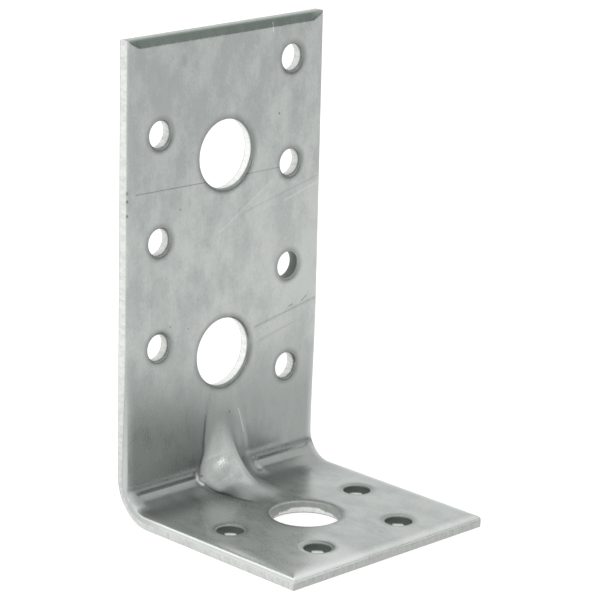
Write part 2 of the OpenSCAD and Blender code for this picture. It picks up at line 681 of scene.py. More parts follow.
    def lines_along(self) -> Array:
        """Grid lines along the sheet, close together at the ends, over the rib and in the bend.

        The squares round the holes have lines along their edges.

        Returns:
            The lines' developed lengths, from the top edge on.
        """
        form = self.form
        edges = np.unique([round(h.q + s * h.punch.patch, 9) for h in self.holes() for s in (-1, 1)])
        tall = edges[edges < form.bend_start]
        starts, gaps = np.array(self.tall_gaps).T
        stops = list(self.bevel_gaps)
        stops += zip(tall, gaps[np.searchsorted(starts, tall, side="right") - 1])
        stops += [(form.bend_start, self.bend_gap), (form.bend_end, self.nose_gap)]
        stops += [(q, self.short_gap) for q in edges[edges > form.bend_end]]
        stops += [(form.length - EDGE_GAP, EDGE_GAP)]
        return np.concatenate([EDGE_LINES, graded(stops), form.length - EDGE_LINES[::-1]])

    def layout(self) -> FlatLayout:
        """Lays the grid out and puts a patch of rings in each hole's square.

        A ring's places are circles near the hole, and go over evenly to the square further out.

        Returns:
            The flat quads, with the border and each hole's rim as loops of nodes, clockwise.
        """
        xs, qs = self.lines_across(), self.lines_along()
        index = np.arange(len(qs) * len(xs)).reshape(len(qs), len(xs))
        grid_x, grid_q = (a.ravel() for a in np.meshgrid(xs, qs))
        grid_x = self.along_feet(grid_x, grid_q)
        mid_x, mid_q = np.meshgrid((xs[1:] + xs[:-1]) / 2, (qs[1:] + qs[:-1]) / 2)
        keep = np.ones(mid_x.shape, bool)
        node_x, node_q, quads, rims = [grid_x], [grid_q], [], []
        count = grid_x.size
        for hole in self.holes():
            half = hole.punch.patch
            keep &= (np.abs(mid_x - hole.x) > half) | (np.abs(mid_q - hole.q) > half)
            i0, i1 = (int(np.argmin(np.abs(xs - hole.x - s * half))) for s in (-1, 1))
            j0, j1 = (int(np.argmin(np.abs(qs - hole.q - s * half))) for s in (-1, 1))
            ring = np.concatenate(
                [index[j0, i0:i1], index[j0:j1, i1], index[j1, i1:i0:-1], index[j1:j0:-1, i0]]
            )
            away = np.stack([grid_x[ring] - hole.x, grid_q[ring] - hole.q], axis=-1)
            round_at = away / np.linalg.norm(away, axis=-1, keepdims=True)
            widest = round_at * (hole.punch.radius + RIM_RINGS[0])
            share = (np.arange(1, SQUARE_RINGS) / SQUARE_RINGS)[:, None, None]
            outer = away * (1 - share) + widest * share
            rings = round_at * (hole.punch.radius + RIM_RINGS)[:, None, None]
            places = np.concatenate([outer, rings]).reshape(-1, 2)
            node_x.append(places[:, 0] + hole.x)
            node_q.append(places[:, 1] + hole.q)
            loops = np.concatenate([ring[None], (count + np.arange(len(places))).reshape(-1, len(ring))])
            quads.append(bands(loops, inward=True))
            rims.append(loops[-1])
            count += len(places)
        corner = index[:-1, :-1][keep]
        quads.append(np.stack([corner, corner + len(xs), corner + len(xs) + 1, corner + 1], axis=-1))
        border = np.concatenate([index[0, :-1], index[:-1, -1], index[-1, :0:-1], index[:0:-1, 0]])
        x, q = np.concatenate(node_x), np.concatenate(node_q)
        return FlatLayout(x, q, np.concatenate(quads), border, rims)

    def rim_gaps(self, x: Array, q: Array) -> Array:
        """Distance of each place from every hole's rim, with a row for each hole."""
        return np.stack([np.hypot(x - h.x, q - h.q) - h.punch.radius for h in self.holes()])

    def away_from_rims(self, x: Array, q: Array) -> Array:
        """Distance of each place from the nearest hole's rim."""
        return np.min(self.rim_gaps(x, q), axis=0)

    def away_from_sides(self, x: Array, q: Array) -> Array:
        """Distance of each place from the side edges and the front edge."""
        return np.minimum(self.form.width / 2 - np.abs(x), self.form.length - q)

    def dark_lips(self, x: Array, q: Array) -> Tuple[Array, Array]:
        """Lips of holes whose walls carry painted shade, shaded the same way.

        Args:
            x: places across the sheet.
            q: developed lengths.

        Returns:
            1 on such a lip and 0 a short way from the rim, and the lip's tone.
        """
        gaps = self.rim_gaps(x, q)
        tone = np.array([h.tone.above for h in self.holes()])[np.argmin(gaps, axis=0)]
        lip = np.clip(1 - np.min(gaps, axis=0) / self.lip_reach, 0.0, 1.0) * (tone > 0)
        return lip, lip * tone

    def softened(self, q: Array) -> Array:
        """0 up the tall leg and 1 from the bend on, with a smooth change between."""
        low, high = SOFT_EDGE
        return ease((q - low) / (high - low))

    def side_drop(self, away: Array, q: Array) -> Array:
        """Depth of the rounding at the side and front edges, crisp on the tall leg and soft on the short.

        Args:
            away: distances from the edge.
            q: developed lengths.

        Returns:
            Depth under the inner face.
        """
        soft = self.softened(q)
        return self.side_roll.drop(away) * (1 - soft) + self.low_roll.drop(away) * soft

    def inner_face(self, x: Array, q: Array) -> Array:
        """Inner face: the bent profile, lowered by its rolled edges, line and bevel, raised by the rib.

        Args:
            x: places across the sheet.
            q: developed lengths.

        Returns:
            (x, y, z) of each place.
        """
        form = self.form
        drop = self.hole_roll.drop(self.away_from_rims(x, q))
        drop = np.maximum(drop, self.side_drop(self.away_from_sides(x, q), q))
        drop = np.maximum(drop, self.top.drop(form, x, q) + self.outer_roll.drop(q))
        drop = drop + self.line.drop(x, q)
        return self.joined(x, form.place(q, drop) + self.rib.rise(form, x, q, Side.INNER))

    def outer_face(self, x: Array, q: Array) -> Array:
        """Outer face: the bent profile with crisp edges, drawn in a little, and the rib's hollow.

        Args:
            x: places across the sheet.
            q: developed lengths.

        Returns:
            (x, y, z) of each place.
        """
        form = self.form
        x, q = self.drawn_in(x, q, self.side_inset)
        edge = np.minimum(self.away_from_sides(x, q), q) - self.side_inset
        rim = self.away_from_rims(x, q) - self.hole_spread
        lift = self.outer_roll.drop(np.maximum(np.minimum(edge, rim), 0.0))
        return self.joined(x, form.place(q, form.gauge - lift) + self.rib.rise(form, x, q, Side.OUTER))

    def drawn_in(self, x: Array, q: Array, by: float) -> Tuple[Array, Array]:
        """Places moved in from the border by a length that fades out over a millimetre, and out from rims.

        Args:
            x: places across the sheet.
            q: developed lengths.
            by: length at the border.

        Returns:
            The moved places.
        """
        half, length = self.form.width / 2, self.form.length
        x = x - np.sign(x) * by * np.clip(1 - (half - np.abs(x)), 0.0, 1.0)
        q = q + by * np.clip(1 - q, 0.0, 1.0) - by * np.clip(1 - (length - q), 0.0, 1.0)
        for hole in self.holes():
            dx, dq = x - hole.x, q - hole.q
            away = np.maximum(np.hypot(dx, dq), TINY)
            push = self.hole_spread * np.clip(1 - (away - hole.punch.radius) / RIM_RINGS[0], 0.0, 1.0)
            x, q = x + dx / away * push, q + dq / away * push
        return x, q

    def joined(self, x: Array, yz: Array) -> Array:
        """(x, y, z) of places, from the middle of the base."""
        return np.stack([x, yz[..., 0] + self.form.short / 2, yz[..., 1]], axis=-1)

    def wall_share(self) -> Array:
        """Shares of the way through the sheet at which a cut wall has its rings, two at the break."""
        at_break = (self.break_at, self.break_at + self.break_step)
        return np.array([*self.rings_above, *at_break, *self.rings_below])[:, None]

    def hole_wall(self, x: Array, q: Array, hole: PunchedHole) -> CutWall:
        """Wall of a hole, which breaks out away from the hole's middle.

        Args:
            x: places of the rim across the sheet.
            q: developed lengths of the rim.
            hole: the hole.

        Returns:
            How the wall runs.
        """
        out = np.stack([x - hole.x, q - hole.q], -1) / hole.punch.radius
        start = self.hole_roll.drop(np.zeros_like(x))
        tone = hole.tone
        return CutWall(out, start, self.hole_spread, tone.above, tone.below, tone.turn)

    def border_wall(self, x: Array, q: Array) -> CutWall:
        """Sheared wall round the sheet, which breaks in towards the sheet.

        Args:
            x: places of the border across the sheet.
            q: developed lengths of the border.

        Returns:
            How the wall runs.
        """
        half = self.form.width / 2
        right, left = np.isclose(x, half), np.isclose(x, -half)
        head, front = np.isclose(q, 0), np.isclose(q, self.form.length)
        out = np.stack([left * 1.0 - right, head * 1.0 - front], -1)
        start = np.where(head, self.top.depth, self.side_drop(np.zeros_like(x), q))
        # Painted shade on the sheared edges: darker on the short leg's sides, the head and the front than on
        # the tall leg's sides
        sides = self.side_tone + (self.low_side_tone - self.side_tone) * self.softened(q)
        tone = np.where(head, self.head_tone, np.where(front, self.front_tone, sides))
        return CutWall(out, start, self.side_inset, tone, tone, self.break_at)

    def add_faces(self, shell: Shell, x: Array, q: Array, quads: Array) -> None:
        """Adds the inner and the outer face.

        Args:
            shell: the shell that they go into.
            x: places of the flat nodes across the sheet.
            q: developed lengths of the flat nodes.
            quads: the flat quads.
        """
        form = self.form
        rim, side = self.away_from_rims(x, q), self.away_from_sides(x, q)
        lift = np.linalg.norm(self.rib.rise(form, x, q, Side.INNER), axis=-1)
        # Painted shade on the sheared top bevel and on the lips of shaded holes
        bevel = np.clip(self.top.drop(form, x, q) / self.bevel_full, 0.0, 1.0)
        lips, lip_tone = self.dark_lips(x, q)
        shade, crease = np.maximum(bevel, lip_tone), self.rib.crease(form, x, q)
        inner, outer = (np.stack([x, q, np.full_like(x, depth)], -1) for depth in (0.0, form.gauge))
        shell.add(
            self.inner_face(x, q), inner, rim=rim, cut=lips, lift=lift, shade=shade, crease=crease, side=side
        )
        shell.add(
            self.outer_face(x, q), outer, rim=rim, cut=0.0, lift=lift, shade=0.0, crease=0.0, side=side
        )
        shell.faces += [quads, quads[:, ::-1] + x.size]

    def add_wall(self, shell: Shell, x: Array, q: Array, loop: Array, wall: CutWall, inward: bool) -> None:
        """Adds a cut wall: straight down from the rolled edge, then broken off at a slope.

        The slope leaves the wall as a power of the way from the break to the outer face.

        Args:
            shell: the shell that holds both faces.
            x: places of the flat nodes across the sheet.
            q: developed lengths of the flat nodes.
            loop: the nodes of the rim, clockwise.
            wall: how the wall runs.
            inward: whether it is the wall of a hole, rather than the border's.
        """
        share = self.wall_share()
        broken = np.clip((share - self.break_at) / (1 - self.break_at), 0.0, 1.0)
        slope = wall.spread * broken**self.break_power
        depth = wall.start + (self.form.gauge - wall.start) * share
        ring_x, ring_q = x[loop] + wall.out[:, 0] * slope, q[loop] + wall.out[:, 1] * slope
        # Painted shade reaches further down a wall the further it turns from that way
        lean = self.painted_light_lean * (1 - wall.out @ np.array(self.painted_light_way)) * np.less(wall.below, 0)
        ids = shell.add(
            self.joined(ring_x, self.form.place(ring_q, depth)),
            np.stack([ring_x, np.broadcast_to(q[loop], ring_x.shape), depth], -1),
            rim=0.0,
            cut=1.0,
            lift=0.0,
            shade=np.where(share <= wall.turn + lean, wall.above, wall.below),
            crease=0.0,
            side=self.form.width / 2,
        )
        shell.faces.append(bands(np.concatenate([loop[None], ids, loop[None] + x.size]), inward))

    def build(self) -> bpy.types.Object:
        """Joins both faces and every cut wall into one closed mesh.

        Returns:
            The new object, with the attributes flat (x, developed length, depth), rim (distance from
            the nearest hole), cut (1 on a cut wall), lift (how far the rib has stretched the sheet),
            shade (painted shade, up to 1 on the bevel, the sheared edges and dark lips and walls, and
            painted light, -1 on near-white walls), crease (1 on the painted shade along the rib's left
            foot) and side (distance from the side and front edges).
        """
        flat = self.layout()
        used = np.unique(flat.quads)
        renumber = np.full(flat.x.size, -1)
        renumber[used] = np.arange(used.size)
        x, q = flat.x[used], flat.q[used]
        shell = Shell()
        self.add_faces(shell, x, q, renumber[flat.quads])
        for hole, rim in zip(self.holes(), flat.rims):
            loop = renumber[rim]
            self.add_wall(shell, x, q, loop, self.hole_wall(x[loop], q[loop], hole), True)
        loop = renumber[flat.border]
        self.add_wall(shell, x, q, loop, self.border_wall(x[loop], q[loop]), False)
        mesh = shell.mesh(self.name)
        mesh.shade_smooth()
        mesh.set_sharp_from_angle(angle=math.radians(self.sharp_angle))
        piece = bpy.data.objects.new(self.name, mesh)
        bpy.context.collection.objects.link(piece)
        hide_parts("bracket")
        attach(piece, "root")
        return piece

    def dress(self, piece: bpy.types.Object, finish: "ZincFinish") -> None:
        """Gives the piece its galvanised finish."""
        piece.data.materials.append(finish.material())


def bands(loops: Array, inward: bool) -> Array:
    """Quads between closed loops of nodes.

    Args:
        loops: one row of nodes for each loop, clockwise as seen from the inner side.
        inward: whether the loops run in towards a hole, rather than out over the border.

    Returns:
        The quads, facing away from the metal.
    """
    after = np.roll(loops, -1, axis=1)
    a, b, c, d = loops[:-1], loops[1:], after[1:], after[:-1]
    order = (a, b, c, d) if inward else (a, d, c, b)
    return np.stack(order, axis=-1).reshape(-1, 4)


def put_attribute(mesh: bpy.types.Mesh, name: str, kind: str, values: Array) -> None:
    """Adds a named value to each of the mesh's points.

    Args:
        mesh: the mesh.
        name: the value's name.
        kind: FLOAT or FLOAT_VECTOR.
        values: one number or vector for each point.
    """
    layer = mesh.attributes.new(name, kind, "POINT")
    key = "vector" if kind == "FLOAT_VECTOR" else "value"
    layer.data.foreach_set(key, values.ravel().astype(np.float32))


class NodeDesk:
    """Adds nodes to one tree and links them, so that a finish reads in the order of its effects."""

    def __init__(self, tree: bpy.types.NodeTree) -> None:
        """Starts with the tree's own nodes."""
        self.tree = tree

    def add(self, kind: str, **settings: object) -> bpy.types.Node:
        """Adds a node and sets its properties.

        Args:
            kind: the node's type name, without the ShaderNode in front.
            settings: properties of the node.

        Returns:
            The new node.
        """
        node = self.tree.nodes.new("ShaderNode" + kind)
        for key, value in settings.items():
            setattr(node, key, value)
        return node

    def feed(self, socket: Socket, value: Source) -> None:
        """Links or sets an input.

        Args:
            socket: the input.
            value: a socket to link, or a plain number, vector or colour to set.
        """
        if isinstance(value, bpy.types.NodeSocket):
            self.tree.links.new(value, socket)
        else:
            socket.default_value = value

    def read(self, name: str) -> Socket:
        """The mesh's own value of that name."""
        return self.add("Attribute", attribute_name=name).outputs["Fac"]

    def math(self, how: str, *values: Source, clamp: bool = False) -> Socket:
        """Result of a Math node.

        Args:
            how: the operation.
            values: numbers or sockets.
            clamp: whether the result is held between 0 and 1.

        Returns:
            The result's socket.
        """
        node = self.add("Math", operation=how, use_clamp=clamp)
        for socket, value in zip(node.inputs, values):
            self.feed(socket, value)
        return node.outputs[0]

    def total(self, *values: Source, clamp: bool = False) -> Socket:
        """Sum of two or more values.

        Args:
            values: numbers or sockets.
            clamp: whether the sum is held between 0 and 1.

        Returns:
            The sum's socket.
        """
        before = reduce(lambda first, second: self.math("ADD", first, second), values[:-1])
        return self.math("ADD", before, values[-1], clamp=clamp)

    def product(self, *values: Source) -> Socket:
        """Product of two or more numbers or sockets."""
        return reduce(lambda first, second: self.math("MULTIPLY", first, second), values)

    def vector_math(self, how: str, *values: Source) -> bpy.types.Node:
        """Adds a Vector Math node.

        Args:
            how: the operation.
            values: vectors or sockets.

        Returns:
            The node, with a vector as its first output and a number as its output Value.
        """
        node = self.add("VectorMath", operation=how)
        for socket, value in zip(node.inputs, values):
            self.feed(socket, value)
        return node

    def remap(self, value: Source, low: float, high: float, to_low: float, to_high: float) -> Socket:
        """Value carried smoothly from one range to another, and held at its ends.

        Args:
            value: the number or socket.
            low: start of the range that it comes from.
            high: end of that range.
            to_low: result at the start.
            to_high: result at the end.

        Returns:
            The result's socket.
        """
        node = self.add("MapRange", interpolation_type="SMOOTHSTEP")
        for socket, number in zip(node.inputs, (value, low, high, to_low, to_high)):
            self.feed(socket, number)
        return node.outputs[0]

    def noise(self, vector: Socket, stretch: Sequence[float], detail: float, rough: float = 0.5) -> Socket:
        """Noise from 0 to 1.

        Args:
            vector: the places that it lies on.
            stretch: how many of its grains there are to a unit, along each axis.
            detail: the noise's detail.
            rough: the noise's roughness.

        Returns:
            The noise's socket.
        """
        mapping = self.add("Mapping")
        self.feed(mapping.inputs["Vector"], vector)
        self.feed(mapping.inputs["Scale"], tuple(stretch))
        node = self.add("TexNoise")
        self.feed(node.inputs["Vector"], mapping.outputs[0])
        for name, value in (("Scale", 1.0), ("Detail", detail), ("Roughness", rough)):
            self.feed(node.inputs[name], value)
        return node.outputs[0]

    def mix(self, share: Source, first: Source, second: Source) -> Socket:
        """Mix of two colours.

        Args:
            share: how much of the second there is, from 0 to 1.
            first: a colour or socket.
            second: a colour or socket.

        Returns:
            The colour's socket.
        """
        node = self.add("Mix", data_type="RGBA")
        self.feed(node.inputs["Factor"], share)
        for socket, value in ((node.inputs[6], first), (node.inputs[7], second)):
            self.feed(socket, (*value, 1.0) if isinstance(value, tuple) else value)
        return node.outputs[2]


def score_group() -> bpy.types.NodeTree:
    """Node group for one scored line on the flat sheet.

    The mask is 1 on the straight line between two places and falls evenly to 0 at the width from it.

    Returns:
        The group, with sockets Flat, From, To and Width, and Mask.
    """
    tree = bpy.data.node_groups.new("scored_line", "ShaderNodeTree")
    for name, kind in (("Flat", "Vector"), ("From", "Vector"), ("To", "Vector"), ("Width", "Float")):
        tree.interface.new_socket(name, in_out="INPUT", socket_type="NodeSocket" + kind)
    tree.interface.new_socket("Mask", in_out="OUTPUT", socket_type="NodeSocketFloat")
    desk = NodeDesk(tree)
    given, result = tree.nodes.new("NodeGroupInput"), tree.nodes.new("NodeGroupOutput")
    on_plane = desk.vector_math("MULTIPLY", given.outputs["Flat"], (1.0, 1.0, 0.0)).outputs[0]
    away = desk.vector_math("SUBTRACT", on_plane, given.outputs["From"]).outputs[0]
    run = desk.vector_math("SUBTRACT", given.outputs["To"], given.outputs["From"]).outputs[0]
    along = desk.math(
        "DIVIDE",
        desk.vector_math("DOT_PRODUCT", away, run).outputs["Value"],
        desk.vector_math("DOT_PRODUCT", run, run).outputs["Value"],
        clamp=True,
    )
    scaled = desk.vector_math("SCALE", run)
    desk.feed(scaled.inputs["Scale"], along)
    gap = desk.vector_math("DISTANCE", away, scaled.outputs[0]).outputs["Value"]
    near = desk.math("SUBTRACT", 1.0, desk.math("DIVIDE", gap, given.outputs["Width"]), clamp=True)
    desk.feed(result.inputs["Mask"], near)
    return tree


@dataclass(frozen=True)
class Score:
    """A scored line, a speck or a painted highlight on the inner face: two places on the flat sheet, width
    and strength.
    """

    start: Tuple[float, float]
    end: Tuple[float, float]
    width: float
    strength: float


@dataclass(frozen=True)
class SheetSignals:
    """Sockets that the zinc finish's effects share: the sheet's own values, and patterns laid on it."""

    across: Socket
    along: Socket
    rim: Socket
    cut: Socket
    lift: Socket
    crease: Socket
    side: Socket
    dim: Socket
    painted_light: Socket
    clouds: Socket
    patches: Socket
    grain: Socket
    lines: Socket
    torn: Socket
    light: Socket
    dark: Socket


@dataclass(frozen=True)
class ZincFinish:
    """Galvanised sheet: cloudy zinc with rolling lines, a few scores and specks, and bright cut walls,
    with painted shade and painted light about the holes, the edges, the bend and the rib.

    Heights and depths are in millimetres of relief.
    """

    name: str = "zinc_sheet"
    dull: Colour = (0.34, 0.359, 0.352)
    bright: Colour = (0.475, 0.493, 0.48)
    # Painted shade: round the holes' rims, about the bend and on the top bevel
    ring: Colour = (0.17, 0.185, 0.178)
    painted_bend_shade: Colour = (0.275, 0.291, 0.283)
    bevel: Colour = (0.28, 0.325, 0.298)
    cut: Colour = (0.6, 0.61, 0.59)
    # Painted light, near white, on hole walls; the dark wall colour is painted shade on hole and edge walls
    # and also darkens torn streaks
    painted_light: Colour = (0.9, 0.9, 0.89)
    dark_wall: Colour = (0.075, 0.09, 0.08)
    # Light scores, and painted highlights on the soft edges and at the left end of the coined line
    scratch_and_highlight: Colour = (0.72, 0.73, 0.72)
    # Dark marks, and the painted shade in the rib's crease
    dark_mark_and_crease_shade: Colour = (0.05, 0.052, 0.05)
    painted_crease_shade: float = 0.7
    satin: float = 0.28
    cut_rough: float = 0.5
    cut_metal: float = 0.35
    line_height: float = 0.0012
    score_depth: float = 0.006
    patch_height: float = 0.004
    grain_height: float = 0.002
    torn_height: float = 0.12
    # The wide third one, at the left end of the coined line, is a painted highlight
    light_scores_and_highlight: Tuple[Score, ...] = (
        Score((3.9, 73.9), (5.3, 78.8), 0.2, 0.5),
        Score((-13.8, 94.6), (-21.0, 105.2), 0.3, 0.5),
        Score((-6.8, 84.7), (-6.2, 86.6), 0.6, 0.7),
        Score((11.1, 0.8), (11.1, 2.4), 0.14, 1.0),
        Score((-18.5, 50.2), (-18.7, 54.0), 0.12, 0.4),
        Score((-1.5, 38.6), (11.7, 30.7), 0.22, 0.25),
        Score((15.0, 35.1), (24.0, 32.7), 0.3, 0.25),
    )
    dark_scores: Tuple[Score, ...] = (
        Score((-22.1, 28.2), (-4.8, 28.5), 0.13, 0.8),
        Score((5.0, 28.5), (13.5, 28.5), 0.12, 0.65),
        Score((4.8, 35.7), (23.3, 31.6), 0.25, 0.2),
        Score((7.9, 58.6), (23.6, 55.7), 0.4, 0.35),
        Score((9.3, 61.5), (17.6, 59.6), 0.3, 0.25),
        Score((16.7, 56.2), (17.5, 56.0), 0.3, 0.6),
        Score((20.1, 55.7), (21.2, 54.9), 0.25, 0.6),
        Score((-10.9, 4.6), (-10.9, 5.4), 1.3, 0.3),
        Score((13.0, 18.1), (13.1, 18.2), 0.24, 1.0),
        Score((-11.5, 32.6), (-11.2, 32.6), 0.18, 0.8),
        Score((-13.6, 54.4), (-13.5, 54.5), 0.22, 0.8),
        Score((-9.1, 55.7), (-9.0, 55.7), 0.2, 0.8),
        Score((1.3, 73.9), (1.3, 74.1), 0.24, 1.0),
        Score((-6.0, 85.2), (-5.9, 85.3), 0.28, 1.0),
        Score((-24.0, 27.5), (-24.0, 27.8), 0.25, 0.8),
        Score((-24.0, 29.0), (-24.0, 29.3), 0.25, 0.8),
        Score((-24.0, 31.7), (-24.0, 32.0), 0.25, 0.8),
    )

    def material(self) -> bpy.types.Material:
        """Builds the finish from the sheet's own attributes.

        Returns:
            The material.
        """
        material = bpy.data.materials.new(self.name)
        material.use_nodes = True
        desk = NodeDesk(material.node_tree)
        shader = material.node_tree.nodes["Principled BSDF"]
        sheet = self.signals(desk)
        colour = desk.mix(sheet.cut, self.zinc(desk, sheet), self.walls(desk, sheet))
        bump = desk.add("Bump")
        bump.inputs["Distance"].default_value = MM
        bump.inputs["Strength"].default_value = 1.0
        desk.feed(bump.inputs["Height"], self.relief(desk, sheet))
        metal = desk.remap(sheet.cut, 0.0, 1.0, 1.0, self.cut_metal)
        # Painted light is not metallic, so it stays near white
        metal = desk.total(metal, desk.product(sheet.painted_light, -self.cut_metal), clamp=True)
        desk.feed(shader.inputs["Base Color"], colour)
        desk.feed(shader.inputs["Roughness"], self.roughness(desk, sheet))
        desk.feed(shader.inputs["Normal"], bump.outputs[0])
        desk.feed(shader.inputs["Metallic"], metal)
        return material

    def signals(self, desk: NodeDesk) -> SheetSignals:
        """Reads the sheet's own values and lays the patterns on it.

        Rolling lines are strongest low on the tall leg, and scores lie on the inner side alone.

        Args:
            desk: the material's desk.

        Returns:
            The shared sockets.
        """
        flat = desk.add("Attribute", attribute_name="flat").outputs["Vector"]
        axes = desk.add("SeparateXYZ")
        desk.feed(axes.inputs[0], flat)
        across, along, depth = axes.outputs
        shade = desk.read("shade")
        grain = desk.noise(flat, (2.4, 1.3, 1.0), 3.0, 0.7)
        rolled = desk.math("SUBTRACT", desk.noise(flat, (5.0, 0.05, 1.0), 3.0, 0.7), 0.5)
        low_leg = desk.product(
            desk.remap(along, 48.0, 70.0, 0.3, 1.0), desk.remap(along, 80.0, 90.0, 1.0, 0.4)
        )
        inner_side = desk.remap(depth, 1.2, 1.8, 1.0, 0.0)
        worn = desk.remap(grain, 0.35, 0.6, 0.45, 1.0)
        group = score_group()
        return SheetSignals(
            across=across,
            along=along,
            rim=desk.read("rim"),
            cut=desk.read("cut"),
            lift=desk.read("lift"),
            crease=desk.read("crease"),
            side=desk.read("side"),
            # dim is the painted shade, and the negative shade is the painted light
            dim=desk.math("ADD", shade, 0.0, clamp=True),
            painted_light=desk.math("MULTIPLY", shade, -1.0, clamp=True),
            clouds=desk.noise(flat, (0.16, 0.09, 0.4), 6.0, 0.65),
            patches=desk.noise(flat, (0.5, 0.2, 1.0), 4.0, 0.6),
            grain=grain,
            lines=desk.product(rolled, low_leg),
            torn=desk.noise(flat, (1.6, 1.6, 0.5), 3.0, 0.6),
            light=desk.product(self.marks(desk, group, flat, self.light_scores_and_highlight), inner_side),
            dark=desk.product(self.marks(desk, group, flat, self.dark_scores), inner_side, worn),
        )

    def zinc(self, desk: NodeDesk, sheet: SheetSignals) -> Socket:
        """Colour of the two faces.

        Args:
            desk: the material's desk.
            sheet: the shared sockets.

        Returns:
            The colour's socket.
        """
        # Cloudy zinc tone; the ramp by developed length, darker towards the top of the tall leg, is painted
        # shade for the leg's reflections
        tone = desk.total(
            desk.remap(sheet.clouds, 0.34, 0.66, -0.08, 0.68),
            desk.remap(sheet.patches, 0.3, 0.75, 0.0, 0.3),
            desk.remap(sheet.grain, 0.3, 0.7, -0.1, 0.2),
            desk.remap(sheet.along, 8.0, 45.0, -0.3, 0.15),
            desk.remap(sheet.across, -20.0, 22.0, -0.1, 0.15),
            desk.product(sheet.lines, 0.6),
            clamp=True,
        )
        colour = desk.mix(tone, self.dull, self.bright)
        # Painted shade about the bend, for the darker reflections near the corner, with painted light
        # keeping the rib's left flank out of it
        flank = desk.product(
            desk.remap(sheet.lift, 0.1, 1.0, 0.0, 1.0), desk.remap(sheet.across, -1.5, 1.5, 1.0, 0.15)
        )
        painted_bend_shade = desk.product(
            desk.remap(sheet.along, 56.0, 76.0, 0.0, 0.85),
            desk.remap(sheet.along, 90.0, 98.0, 1.0, 0.0),
            desk.math("SUBTRACT", 1.0, flank),
        )
        colour = desk.mix(painted_bend_shade, colour, self.painted_bend_shade)
        # Lighter on the left of the short leg near the bend, and a painted highlight along the soft edges
        lighter_left_of_short_leg = desk.product(
            desk.remap(sheet.along, 90.0, 97.0, 0.0, 0.55), desk.remap(sheet.across, -12.0, -2.0, 1.0, 0.0)
        )
        colour = desk.mix(lighter_left_of_short_leg, colour, self.scratch_and_highlight)
        edge = desk.product(
            desk.remap(sheet.side, 0.1, 2.2, 0.5, 0.0), desk.remap(sheet.along, *SOFT_EDGE, 0.1, 1.0)
        )
        colour = desk.mix(edge, colour, self.scratch_and_highlight)
        # Painted shade on the rolled rim round each hole, then painted shade on the bevel and dark lips, the
        # scores, and painted shade in the rib's crease
        ring = desk.product(
            desk.remap(sheet.rim, 0.1, 1.6, 0.8, 0.0), desk.remap(sheet.patches, 0.25, 0.65, 0.6, 1.0)
        )
        colour = desk.mix(ring, colour, self.ring)
        colour = desk.mix(sheet.dim, colour, self.bevel)
        # Light scores and the painted highlight at the coined line's end
        colour = desk.mix(sheet.light, colour, self.scratch_and_highlight)
        colour = desk.mix(sheet.dark, colour, self.dark_mark_and_crease_shade)
        # Painted shade in the crease along the rib's left foot
        return desk.mix(desk.product(sheet.crease, self.painted_crease_shade), colour, self.dark_mark_and_crease_shade)

    def walls(self, desk: NodeDesk, sheet: SheetSignals) -> Socket:
        """Colour of the cut walls: painted shade, torn streaks and near-white painted light over bare metal.

        Args:
            desk: the material's desk.
            sheet: the shared sockets.

        Returns:
            The colour's socket.
        """
        # Painted shade on hole and edge walls, then torn streaks, then near-white painted light
        wall = desk.mix(sheet.dim, self.cut, self.dark_wall)
        wall = desk.mix(desk.remap(sheet.torn, 0.35, 0.7, 0.0, 0.22), wall, self.dark_wall)
        return desk.mix(sheet.painted_light, wall, self.painted_light)

    def roughness(self, desk: NodeDesk, sheet: SheetSignals) -> Socket:
        """Roughness: satin zinc, rougher on the rib's flanks and cut walls, polished on its crest.

        Args:
            desk: the material's desk.
            sheet: the shared sockets.

        Returns:
            The roughness's socket.
        """
        return desk.total(
            desk.remap(sheet.patches, 0.3, 0.7, self.satin - 0.04, self.satin + 0.06),
            desk.product(sheet.lines, 0.25),
            desk.product(sheet.dim, -0.08),
            desk.remap(sheet.lift, 0.02, 0.5, 0.0, 0.14),
            desk.remap(sheet.lift, 1.2, 3.0, 0.0, -0.15),
            desk.product(sheet.cut, self.cut_rough - self.satin),
            clamp=True,
        )

    def relief(self, desk: NodeDesk, sheet: SheetSignals) -> Socket:
        """Height of the finish's relief: rolling lines, scores, patches, grain and torn walls.

        Args:
            desk: the material's desk.
            sheet: the shared sockets.

        Returns:
            The height's socket, in millimetres.
        """
        return desk.total(
            desk.product(sheet.lines, self.line_height),
            desk.product(desk.total(sheet.light, sheet.dark), -self.score_depth),
            desk.product(sheet.patches, self.patch_height),
            desk.product(sheet.grain, self.grain_height),
            desk.product(sheet.torn, sheet.cut, self.torn_height),
        )

    def marks(
        self, desk: NodeDesk, group: bpy.types.NodeTree, flat: Socket, scores: Tuple[Score, ...]
    ) -> Socket:
        """Mask of several scored lines together.

        Args:
            desk: the material's desk.
            group: the scored line's node group.
            flat: the sheet's flat places.
            scores: the lines.

        Returns:
            The mask, 1 where a line is strongest.
        """
        mask: Source = 0.0
        for scratch_and_highlight in scores:
            node = desk.add("Group", node_tree=group)
            desk.feed(node.inputs["Flat"], flat)
            desk.feed(node.inputs["From"], (*scratch_and_highlight.start, 0.0))
            desk.feed(node.inputs["To"], (*scratch_and_highlight.end, 0.0))
            desk.feed(node.inputs["Width"], scratch_and_highlight.width)
            mask = desk.total(mask, desk.product(node.outputs["Mask"], scratch_and_highlight.strength), clamp=True)
        return mask


